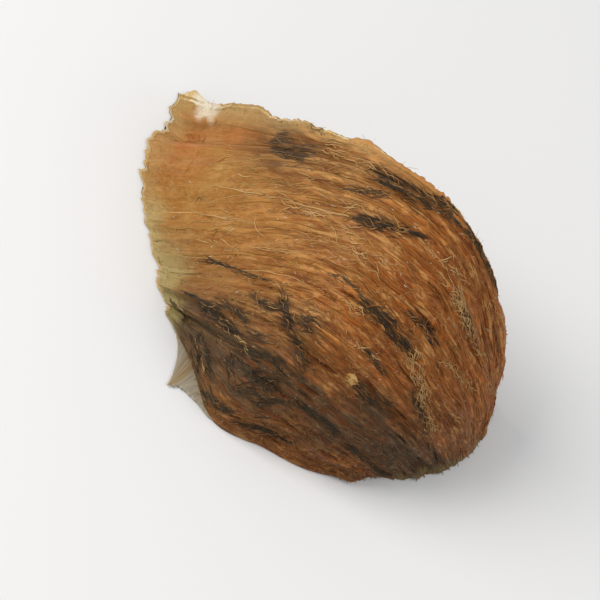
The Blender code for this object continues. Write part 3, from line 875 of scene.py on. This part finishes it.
def make_films(name):
    """Thin torn films along foot A, the rim and the attach edge."""
    out_count = 9
    b = np.linspace(-0.5, 1.0, out_count)[None, :]
    beyond = np.maximum(b, 0.0)
    up = np.array((0.0, 0.0, 1.0))
    points, faces, flows, tones, painted_shades, first = [], [], [], [], [], 0
    for number, (u, v, reach, kind) in enumerate(film_edges()):
        base, normal = outside(u, v)
        along, across = slopes(u, v)
        face = normal if kind == "rim" else unit(normal + 3.0 * up)
        away = {"foot": -along, "rim": across, "attach": -across}[kind]
        away = unit(away - face * np.sum(away * face, axis=-1, keepdims=True))
        out = np.where(b > 0.0, b * reach[:, None], b * 0.0008)
        place = np.arange(len(u))[:, None] / 12.0
        wave = 0.00016 * noise_at(place, b * 2.0, 97.0 + number) * (0.3 + beyond)
        lift = 0.10 * beyond ** 2 * reach[:, None] + wave - 0.00010 + 0.0010 * np.minimum(b, 0.0)
        sheet = base[:, None] + away[:, None] * out[..., None] + face[:, None] * lift[..., None]
        sheet[..., 2] = np.maximum(sheet[..., 2], 0.00022)
        thin = (FILM_THICKNESS * (1.0 - 0.6 * beyond))[..., None] * face[:, None]
        both = np.stack((sheet + thin, sheet - thin))
        ids = first + np.arange(both.size // 3).reshape(both.shape[:3])
        top, low = (ids[0], ids[1]) if kind == "rim" else (ids[0][::-1], ids[1][::-1])
        tones.append(np.full(both.size // 3, FILM_TONES[kind]))
        painted_shades.append(np.full(both.size // 3, FILM_PAINTED_SHADE[kind]))
        faces += grid_faces(top) + grid_faces(low.T)
        border = np.concatenate((top[:, 0], top[-1, 1:], top[-2::-1, -1], top[0, -2:0:-1]))
        under = np.concatenate((low[:, 0], low[-1, 1:], low[-2::-1, -1], low[0, -2:0:-1]))
        faces += np.stack((np.roll(border, -1), border, under, np.roll(under, -1)), axis=-1).tolist()
        points.append(both.reshape(-1, 3))
        flow = np.stack(np.broadcast_arrays(place, b * 2.0, 1.7 * number), axis=-1)
        flows.append(np.stack((flow, flow)).reshape(-1, 3))
        first += both.size // 3
    fields = {key: np.zeros(first) for key in PLAIN}
    # On the films the olive field carries only painted shade.
    fields["olive_tint_and_shade"] = np.concatenate(painted_shades)
    flow = np.vstack(flows)
    tone = np.concatenate(tones) + 0.8 * noise_at(flow[:, 0] * 0.5, flow[:, 2], 99.0)
    points = np.vstack(points)
    s, w = photo_plane(points)
    spot = photo_place(FLAKE_PLACE)
    white = 1.0 - smooth(0.0024, 0.0042, np.hypot(s - spot[0], w - spot[1]))
    fields.update(tone=np.clip(tone, 0.0, 1.0), flow=flow, white=white)
    return mesh_object(name, points, faces, fields)


def node_material(name):
    """An empty Principled material with its node tree at hand."""
    material = bpy.data.materials.new(name)
    material.use_nodes = True
    tree = material.node_tree
    return material, tree, tree.nodes["Principled BSDF"]


def add(tree, kind, **values):
    """A node with its settings and its unlinked inputs."""
    node = tree.nodes.new(kind)
    for key, value in values.items():
        if key in node.inputs:
            node.inputs[key].default_value = value
        else:
            setattr(node, key, value)
    return node


def attribute(tree, name):
    """Reads a field that the mesh carries."""
    return add(tree, "ShaderNodeAttribute", attribute_name=name)


def stretched(tree, flow, scale, texture_scale=1.0, detail=3.0, roughness=0.55):
    """Noise that is stretched along the strands."""
    place = add(tree, "ShaderNodeMapping")
    place.inputs["Scale"].default_value = scale
    tree.links.new(flow, place.inputs["Vector"])
    texture = add(tree, "ShaderNodeTexNoise", Scale=texture_scale, Detail=detail, Roughness=roughness)
    tree.links.new(place.outputs["Vector"], texture.inputs["Vector"])
    return texture.outputs["Fac"]


def ramp(tree, fac, stops):
    """Colours, or grey values, along a factor."""
    node = add(tree, "ShaderNodeValToRGB")
    elements = node.color_ramp.elements
    while len(elements) < len(stops):
        elements.new(0.5)
    for element, (place, colour) in zip(elements, stops):
        element.position = place
        element.color = tuple(colour) + (1.0,) if len(colour) == 3 else colour
    tree.links.new(fac, node.inputs["Fac"])
    return node.outputs["Color"]


def grey(value):
    return (value, value, value)


def mix(tree, fac, first, second, blend="MIX"):
    """Mixes two colours by a factor, each a socket or a value."""
    node = add(tree, "ShaderNodeMix", data_type="RGBA", blend_type=blend)
    for socket, value in ((node.inputs[0], fac), (node.inputs[6], first), (node.inputs[7], second)):
        if isinstance(value, bpy.types.NodeSocket):
            tree.links.new(value, socket)
        elif isinstance(value, tuple):
            socket.default_value = value + (1.0,)
        else:
            socket.default_value = value
    return node.outputs[2]


def times(tree, first, second, operation="MULTIPLY"):
    """Arithmetic on two sockets or values."""
    node = add(tree, "ShaderNodeMath", operation=operation)
    for socket, value in zip(node.inputs, (first, second)):
        if isinstance(value, bpy.types.NodeSocket):
            tree.links.new(value, socket)
        else:
            socket.default_value = value
    return node.outputs[0]


# Colours, in linear light
AMBER = (0.305, 0.135, 0.024)
AMBER_LIGHT = (0.385, 0.200, 0.045)
AMBER_DEEP = (0.220, 0.076, 0.011)
TAN = (0.380, 0.160, 0.045)
HONEY = (0.420, 0.250, 0.075)
EMBER = (0.490, 0.106, 0.008)
RUSSET = (0.320, 0.078, 0.008)
BROWN = (0.14, 0.038, 0.007)
ROSY = (0.42, 0.125, 0.036)
CREAM = (0.60, 0.390, 0.170)
GOLDEN = (0.545, 0.280, 0.088)
THREAD = (0.64, 0.365, 0.140)
FRINGE = (0.350, 0.285, 0.110)
FRINGE_LIGHT = (0.480, 0.385, 0.170)
EMBER_LIGHT = (0.580, 0.185, 0.028)
FUZZ = (0.62, 0.420, 0.190)
FILM_WHITE = (0.72, 0.640, 0.500)
FILM_GOLD = (0.60, 0.390, 0.150)
OLIVE = (0.096, 0.070, 0.036)
OLIVE_DARK = (0.026, 0.018, 0.010)
SMUDGE = (0.056, 0.027, 0.010)
FEATHER = (0.020, 0.012, 0.006)
FEATHER_GREY = (0.074, 0.050, 0.027)


def strand_finish(shader, roughness, depth=0.30):
    """Dried saliva: a little light passes in, and the surface is slightly glossy."""
    shader.inputs["Roughness"].default_value = roughness
    shader.inputs["IOR"].default_value = 1.50
    shader.inputs["Specular IOR Level"].default_value = 0.14
    shader.inputs["Subsurface Weight"].default_value = depth
    shader.inputs["Subsurface Radius"].default_value = (1.0, 0.42, 0.16)
    shader.inputs["Subsurface Scale"].default_value = 0.0020


def regional(tree, base, grain, broad, strength):
    """Tints a colour by the region that it lies in; a strength of 1 gives the region's colour, which on the deep and
    olive sides is partly painted shade.
    """
    # Deep side: rust colours that hold painted shade as well as the nest's own tint.
    deep = ramp(tree, grain, ((0.33, BROWN), (0.50, RUSSET), (0.66, EMBER)))
    base = mix(tree, times(tree, attribute(tree, "deep").outputs["Fac"], 0.90 * strength), base, deep)
    # Olive side: olive colours that hold painted shade as well as the nest's own olive tint.
    olive_tint_and_shade = mix(tree, ramp(tree, grain, ((0.40, grey(0.0)), (0.60, grey(1.0)))), OLIVE_DARK, OLIVE)
    base = mix(tree, times(tree, attribute(tree, "olive_tint_and_shade").outputs["Fac"], 0.96 * strength ** 0.5), base, olive_tint_and_shade)
    smudge = times(tree, attribute(tree, "smudge").outputs["Fac"], 0.72 * strength)
    base = mix(tree, smudge, base, SMUDGE)
    rosy = times(tree, attribute(tree, "rosy").outputs["Fac"],
                 ramp(tree, grain, ((0.38, grey(0.35 * strength)), (0.60, grey(0.85 * strength)))))
    base = mix(tree, rosy, base, ROSY)
    pale = mix(tree, broad, FRINGE, FRINGE_LIGHT)
    base = mix(tree, times(tree, attribute(tree, "pale").outputs["Fac"], 0.85 * strength), base, pale)
    return mix(tree, times(tree, attribute(tree, "white").outputs["Fac"], 0.80), base, FILM_WHITE)


def shell_material():
    """Amber strands with pale torn edges, an olive side and a deep orange side that are partly painted shade, feather
    stains, painted shade between the strands and painted highlight on their tops.
    """
    material, tree, shader = node_material("dried_strands")
    flow = attribute(tree, "flow").outputs["Vector"]
    broad = stretched(tree, flow, (0.35, 1.6, 1.0), 1.0, 3.0)
    streaks = stretched(tree, flow, (0.55, 14.0, 1.0), 1.0, 4.0, 0.6)
    fibres = stretched(tree, flow, (3.4, 36.0, 1.0), 1.0, 3.0, 0.6)
    flecks = stretched(tree, flow, (3.2, 22.0, 1.0), 1.0, 2.0, 0.5)
    blots = stretched(tree, flow, (2.4, 5.0, 1.0), 1.0, 4.0, 0.65)

    specks = stretched(tree, flow, (14.0, 18.0, 1.0), 1.0, 4.0, 0.75)
    bundles = stretched(tree, flow, (1.8, 7.5, 1.0), 1.0, 3.0, 0.6)
    rough = attribute(tree, "rough").outputs["Fac"]
    olive_free = times(tree, 0.25, attribute(tree, "olive_tint_and_shade").outputs["Fac"], "SUBTRACT")

    clouds = stretched(tree, flow, (1.7, 2.6, 1.0), 1.0, 5.0, 0.62)
    smooth_part = times(tree, 1.0, times(tree, rough, 0.75), "SUBTRACT")
    base = ramp(tree, streaks, ((0.30, AMBER_DEEP), (0.46, AMBER), (0.68, AMBER_LIGHT)))
    soft = ramp(tree, clouds, ((0.34, TAN), (0.48, AMBER), (0.62, HONEY)))
    base = mix(tree, times(tree, smooth_part, 0.72), base, soft)
    base = mix(tree, times(tree, broad, 0.55), base, AMBER)
    base = mix(tree, ramp(tree, blots, ((0.36, grey(0.55)), (0.50, grey(0.0)))), base, AMBER_DEEP)
    base = mix(tree, ramp(tree, specks, ((0.52, grey(0.0)), (0.68, grey(0.50)))), base, GOLDEN)
    base = regional(tree, base, streaks, broad, 1.0)
    base = mix(tree, ramp(tree, specks, ((0.32, grey(0.50)), (0.48, grey(0.0)))), base, RUSSET)
    uneven = times(tree, rough, times(tree, olive_free, 0.75, "ADD"))
    # Painted shade and painted highlight: BROWN and GOLDEN bands along the strands, the light and shade of bundles that
    # have no relief of their own.
    base = mix(tree, times(tree, ramp(tree, bundles, ((0.37, grey(0.95)), (0.49, grey(0.0)))), rough), base, BROWN)
    base = mix(tree, times(tree, ramp(tree, bundles, ((0.50, grey(0.0)), (0.61, grey(0.85)))), uneven), base, GOLDEN)
    raised = attribute(tree, "raised").outputs["Fac"]
    # Painted shade: BROWN in the low places of the fine relief, between the strands.
    painted_gap_shade = times(tree, ramp(tree, raised, ((0.12, grey(0.85)), (0.42, grey(0.0)))), rough)
    base = mix(tree, painted_gap_shade, base, BROWN)
    # Painted highlight: the raised tops of the fine relief turn GOLDEN, or EMBER_LIGHT on the deep side.
    light = mix(tree, attribute(tree, "deep").outputs["Fac"], GOLDEN, EMBER_LIGHT)
    clear = times(tree, 1.0, times(tree, attribute(tree, "olive_tint_and_shade").outputs["Fac"], 0.85), "SUBTRACT")
    painted_top_highlight = times(tree, ramp(tree, raised, ((0.55, grey(0.0)), (0.78, grey(0.60)))), rough)
    base = mix(tree, times(tree, painted_top_highlight, clear), base, light)
    light_fibres = ramp(tree, fibres, ((0.55, grey(0.0)), (0.70, grey(0.30))))
    base = mix(tree, times(tree, light_fibres, clear), base, THREAD)
    light_flecks = ramp(tree, flecks, ((0.62, grey(0.0)), (0.72, grey(0.36))))
    base = mix(tree, times(tree, light_flecks, times(tree, rough, clear)), base, GOLDEN)
    fine_shift = times(tree, times(tree, times(tree, fibres, 0.5, "SUBTRACT"), 1.7),
                       times(tree, times(tree, flecks, 0.5, "SUBTRACT"), 1.3), "ADD")
    stain = mix(tree, ramp(tree, fibres, ((0.48, grey(0.0)), (0.70, grey(1.0)))), FEATHER, FEATHER_GREY)
    soft_shift = times(tree, fine_shift, times(tree, 1.0, times(tree, smooth_part, 0.5), "SUBTRACT"))
    dark = times(tree, times(tree, attribute(tree, "dark").outputs["Fac"], 0.95), soft_shift, "ADD")
    base = mix(tree, ramp(tree, dark, ((0.46, grey(0.0)), (0.80, grey(0.92)))), base, stain)
    within = mix(tree, streaks, AMBER_DEEP, CREAM)
    base = mix(tree, times(tree, attribute(tree, "within").outputs["Fac"], 0.80), base, within)
    tree.links.new(base, shader.inputs["Base Color"])

    strand_finish(shader, 0.46)
    gloss = ramp(tree, streaks, ((0.3, grey(0.58)), (0.7, grey(0.36))))
    tree.links.new(gloss, shader.inputs["Roughness"])
    bump_node = add(tree, "ShaderNodeBump", Strength=0.55, Distance=0.00030)
    height = times(tree, times(tree, fibres, times(tree, streaks, 0.8), "ADD"), times(tree, flecks, 0.6), "ADD")
    height = times(tree, height, times(tree, times(tree, rough, 0.70), 0.30, "ADD"))
    tree.links.new(height, bump_node.inputs["Height"])
    tree.links.new(bump_node.outputs["Normal"], shader.inputs["Normal"])
    return material


def fibre_material(name, low, high, roughness, strength=0.7):
    """Single strands whose colour goes from low to high with their tone, tinted by their region."""
    material, tree, shader = node_material(name)
    tone = attribute(tree, "tone").outputs["Fac"]
    flow = attribute(tree, "flow").outputs["Vector"]
    mottle = stretched(tree, flow, (2.0, 0.6, 5.0), 1.0, 2.0)
    base = mix(tree, tone, low, high)
    base = mix(tree, ramp(tree, mottle, ((0.35, grey(0.30)), (0.60, grey(0.0)))), base, AMBER)
    base = regional(tree, base, mottle, tone, strength)
    feather = mix(tree, tone, FEATHER, FEATHER_GREY)
    base = mix(tree, times(tree, attribute(tree, "dark").outputs["Fac"], 0.38), base, feather)
    tree.links.new(base, shader.inputs["Base Color"])
    strand_finish(shader, roughness, 0.08)
    bump_node = add(tree, "ShaderNodeBump", Strength=0.3, Distance=0.0001)
    tree.links.new(mottle, bump_node.inputs["Height"])
    tree.links.new(bump_node.outputs["Normal"], shader.inputs["Normal"])
    return material


def feather_material():
    """Dark barbs with a dull grey sheen."""
    material, tree, shader = node_material("feather_barbs")
    tone = attribute(tree, "tone").outputs["Fac"]
    flow = attribute(tree, "flow").outputs["Vector"]
    mottle = stretched(tree, flow, (3.0, 0.6, 5.0), 1.0, 2.0)
    base = mix(tree, times(tree, tone, mottle), FEATHER, FEATHER_GREY)
    base = mix(tree, attribute(tree, "dark").outputs["Fac"], OLIVE, base)
    tree.links.new(base, shader.inputs["Base Color"])
    shader.inputs["Roughness"].default_value = 0.55
    shader.inputs["Specular IOR Level"].default_value = 0.25
    return material


def floor_material():
    material, tree, shader = node_material("pale_floor")
    shader.inputs["Base Color"].default_value = (0.80, 0.80, 0.80, 1.0)
    shader.inputs["Roughness"].default_value = 0.8
    return material


def give(obj, material):
    obj.data.materials.clear()
    obj.data.materials.append(material)


def make_floor():
    bpy.ops.mesh.primitive_plane_add(size=6.0, location=(0.0, 0.0, -0.0003))
    floor = bpy.context.object
    floor.name = "floor"
    give(floor, floor_material())


def view_axes():
    """The camera's right, up and backward directions."""
    out = Vector((0.0, math.cos(CAMERA_TILT), math.sin(CAMERA_TILT)))
    chord = Vector((1.0, 0.0, 0.0))
    right = chord * math.cos(CAMERA_ROLL) + out * math.sin(CAMERA_ROLL)
    up = out * math.cos(CAMERA_ROLL) - chord * math.sin(CAMERA_ROLL)
    return right, up, right.cross(up)


def make_camera():
    right, up, back = view_axes()
    data = bpy.data.cameras.new("camera")
    camera = bpy.data.objects.new("camera", data)
    bpy.context.scene.collection.objects.link(camera)
    chord = Vector((1.0, 0.0, 0.0))
    out = Vector((0.0, math.cos(CAMERA_TILT), math.sin(CAMERA_TILT)))
    aim = chord * CAMERA_AIM[0] + out * (CAMERA_AIM[1] + out.y * -MIDDLE[1]) + back * 0.018
    rotation = Matrix((right, up, back)).transposed().to_4x4()
    camera.matrix_world = Matrix.Translation(aim + back * CAMERA_DISTANCE) @ rotation
    data.sensor_width = 36.0
    data.lens = 36.0 * CAMERA_DISTANCE / FRAME_WIDTH
    data.clip_start = 0.05
    bpy.context.scene.camera = camera


def add_area(name, direction, distance, size, power, colour):
    """A soft square light that looks at the nest from a direction in the camera's axes."""
    right, up, back = view_axes()
    place = (right * direction[0] + up * direction[1] + back * direction[2]).normalized() * distance
    data = bpy.data.lights.new(name, "AREA")
    data.size = size
    data.energy = power
    data.color = colour
    light = bpy.data.objects.new(name, data)
    light.matrix_world = Matrix.Translation(place) @ place.to_track_quat("Z", "Y").to_matrix().to_4x4()
    bpy.context.scene.collection.objects.link(light)


def make_lights():
    add_area("key", (-0.50, 0.75, 0.82), 0.9, 0.50, 6.5, (1.0, 0.98, 0.95))
    add_area("fill", (0.95, -0.1, 0.85), 1.0, 0.70, 2.9, (0.96, 0.98, 1.0))
    world = bpy.data.worlds.new("studio")
    world.use_nodes = True
    world.node_tree.nodes["Background"].inputs["Color"].default_value = (1.0, 1.0, 1.0, 1.0)
    world.node_tree.nodes["Background"].inputs["Strength"].default_value = 0.42
    bpy.context.scene.world = world
    bpy.context.scene.view_settings.view_transform = "Standard"


def everywhere(u, v):
    return 0.0 * u + 0.9


def mostly_rough(u, v):
    """More on the rough side, and in patches."""
    patches = smooth(-0.25, 0.35, noise_at(u * 9.0, v * 11.0, 101.0))
    clumps = smooth(-0.05, 0.25, noise_at(u * 20.0, v * 48.0, 103.0))
    fields = colour_fields(u, v, [])
    regions = (1.0 - 0.65 * fields["olive_tint_and_shade"]) * (1.0 - 0.40 * fields["deep"])
    return (0.03 + 0.97 * roughness_at(u, v) ** 1.3) * (0.25 + 0.75 * patches) * (0.10 + 0.90 * clumps) * regions


def felted(u, v):
    return 0.35 + 0.55 * roughness_at(u, v)


def some_smooth(u, v):
    return 0.10 + 0.80 * roughness_at(u, v)


def main():
    tufts = streak_tufts()
    shell = make_shell(tufts)
    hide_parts("nest")
    give(shell, shell_material())
    cords = lay_fibres("strands_amber", 420, 20, 4, (0.010, 0.034), (0.00011, 0.00024), 0.03, 0.05, 0.00005,
                       some_smooth, tufts, 0.4)
    give(cords, fibre_material("amber_strands", AMBER, AMBER_LIGHT, 0.42, 1.0))
    threads = lay_fibres("threads_pale", 440, 14, 3, (0.004, 0.013), (0.00008, 0.00015), 0.05, 0.05, 0.00008,
                         some_smooth, tufts)
    give(threads, fibre_material("pale_threads", AMBER, THREAD, 0.45, 0.75))
    wisps = lay_fibres("wisps_pale", 3400, 7, 4, (0.0007, 0.0033), (0.00008, 0.00018), 0.22, 0.30, 0.00011,
                       mostly_rough, tufts, 0.5)
    give(wisps, fibre_material("pale_wisps", AMBER_LIGHT, THREAD, 0.42, 0.72))
    felt = lay_fibres("felt_fine", 5200, 4, 3, (0.0005, 0.0024), (0.00004, 0.00009), 0.20, 0.45, 0.00012,
                      felted, tufts)
    give(felt, fibre_material("fine_felt", AMBER_DEEP, CREAM, 0.45, 0.75))
    specks = lay_fibres("specks_pale", 800, 5, 4, (0.0003, 0.0010), (0.00005, 0.00012), 0.20, 0.50, 0.00008,
                        some_smooth, tufts, 0.7)
    give(specks, fibre_material("pale_specks", GOLDEN, FILM_WHITE, 0.40, 0.30))
    give(make_barbs("feather_barbs", tufts), feather_material())
    give(make_shafts("feather_shafts", pale_tufts()), fibre_material("feather_shaft", THREAD, FUZZ, 0.4, 0.12))
    over = [(start, end, 1.4 * half_width, int(4 * amount)) for start, end, half_width, _, amount in tufts]
    give(make_shafts("threads_over", over), fibre_material("over_threads", AMBER_DEEP, THREAD, 0.45, 0.6))
    give(make_long_threads("threads_long"), fibre_material("long_threads", GOLDEN, CREAM, 0.42))
    give(make_drop("dried_drop"), fibre_material("drop", AMBER_LIGHT, CREAM, 0.35))
    give(make_edge_hairs("edge_hairs"), fibre_material("edge_hair", AMBER_LIGHT, CREAM, 0.5))
    give(make_net("inner_net"), fibre_material("inner_threads", AMBER, CREAM, 0.42))
    give(make_films("torn_films"), fibre_material("torn_film", FILM_GOLD, FILM_WHITE, 0.38, 0.5))
    make_floor()
    make_lights()
    make_camera()


main()
